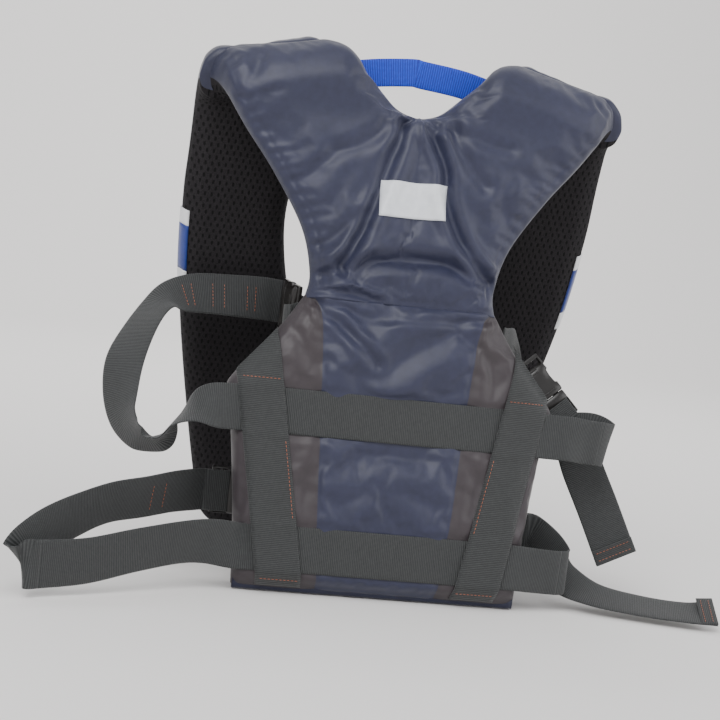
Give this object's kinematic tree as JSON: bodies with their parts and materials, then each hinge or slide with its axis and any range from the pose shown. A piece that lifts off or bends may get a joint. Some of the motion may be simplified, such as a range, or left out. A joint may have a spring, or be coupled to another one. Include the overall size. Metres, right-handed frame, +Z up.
{
  "type": "foam buoyancy vest",
  "caption": "Foam-filled buoyancy vest, racer-back style, standing on its hems, with webbing waist belts, side-release buckles, a haul loop between the shoulders and a front zip.",
  "frame": {"origin": "on the floor, at the middle of the back panel's bottom hem", "axes": "+Z up; the wearer's back side faces -Y and the zipped front faces +Y; +X is to the right seen from behind"},
  "size_m": [0.6354, 0.3717, 0.4902],
  "materials": {
    "foam": "matte",
    "navy_nylon": "satin",
    "taupe_nylon": "satin",
    "hem_tape": "matte",
    "spacer_mesh": "matte",
    "webbing": "matte",
    "haul_webbing": "matte",
    "reflective": "satin",
    "stripe_white": "matte",
    "stripe_blue": "matte",
    "buckle_plastic": "satin",
    "zip_plastic": "satin"
  },
  "bodies": {
    "back": {"back_foam_lower": "foam", "back_foam_yoke": "foam", "back_centre_panel": "navy_nylon", "side_panel_left": "taupe_nylon", "side_panel_right": "taupe_nylon", "yoke_cover": "navy_nylon", "back_lining": "spacer_mesh", "back_hem": "hem_tape", "reflective_patch": "reflective", "band_left": "webbing", "band_right": "webbing", "upper_belt": "webbing", "lower_belt": "webbing", "shoulder_pad_left": "navy_nylon", "shoulder_pad_right": "navy_nylon", "haul_loop": "haul_webbing", "upper_anchor_left": "webbing", "upper_anchor_right": "webbing", "lower_anchor_left": "webbing", "lower_anchor_right": "webbing", "upper_socket_left": "buckle_plastic", "upper_socket_right": "buckle_plastic", "lower_socket_left": "buckle_plastic", "lower_socket_right": "buckle_plastic"},
    "front": {"front_foam_left": "foam", "front_foam_right": "foam", "front_cover_left": "navy_nylon", "front_cover_right": "navy_nylon", "front_lining_left": "spacer_mesh", "front_lining_right": "spacer_mesh", "front_hem_left": "hem_tape", "front_hem_right": "hem_tape", "chest_stripe_white_left": "stripe_white", "chest_stripe_white_right": "stripe_white", "chest_stripe_blue_left": "stripe_blue", "chest_stripe_blue_right": "stripe_blue", "zip_tape_left": "hem_tape", "zip_tape_right": "hem_tape", "zip_teeth_left": "zip_plastic", "zip_teeth_right": "zip_plastic", "zip_stops": "zip_plastic"},
    "upper_clip_left": {"upper_clip_left": "buckle_plastic", "upper_strap_left": "webbing"},
    "upper_clip_right": {"upper_clip_right": "buckle_plastic", "upper_strap_right": "webbing", "upper_tail_right": "webbing"},
    "lower_clip_left": {"lower_clip_left": "buckle_plastic", "lower_strap_left": "webbing"},
    "lower_clip_right": {"lower_clip_right": "buckle_plastic", "lower_strap_right": "webbing", "lower_tail_right": "webbing"},
    "zip_slider": {"zip_slider": "zip_plastic"},
    "zip_pull": {"zip_pull": "haul_webbing"}
  },
  "joints": [
    {"name": "front_swing", "type": "hinge", "parent": "back", "child": "front", "pos_m": [0, 0.11235, 0.443], "axis": [1, 0, 0], "range_deg": [0, 50]},
    {"name": "upper_clip_left_slide", "type": "slide", "parent": "back", "child": "upper_clip_left", "axis": [-0.1003, 0.9931, 0.0602], "range_m": [0, 0.022]},
    {"name": "upper_clip_right_slide", "type": "slide", "parent": "back", "child": "upper_clip_right", "axis": [0.6593, -0.2497, -0.7092], "range_m": [0, 0.022]},
    {"name": "lower_clip_left_slide", "type": "slide", "parent": "back", "child": "lower_clip_left", "axis": [-0.998, 0.0599, -0.02], "range_m": [0, 0.022]},
    {"name": "lower_clip_right_slide", "type": "slide", "parent": "back", "child": "lower_clip_right", "axis": [0.995, 0.0597, -0.0796], "range_m": [0, 0.022]},
    {"name": "zip_slide", "type": "slide", "parent": "front", "child": "zip_slider", "axis": [0, 0.309, -0.9511], "range_m": [0, 0.15]},
    {"name": "zip_pull_swing", "type": "hinge", "parent": "zip_slider", "child": "zip_pull", "pos_m": [0, 0.20955, 0.19563], "axis": [1, 0, 0], "range_deg": [0, 120]}
  ]
}
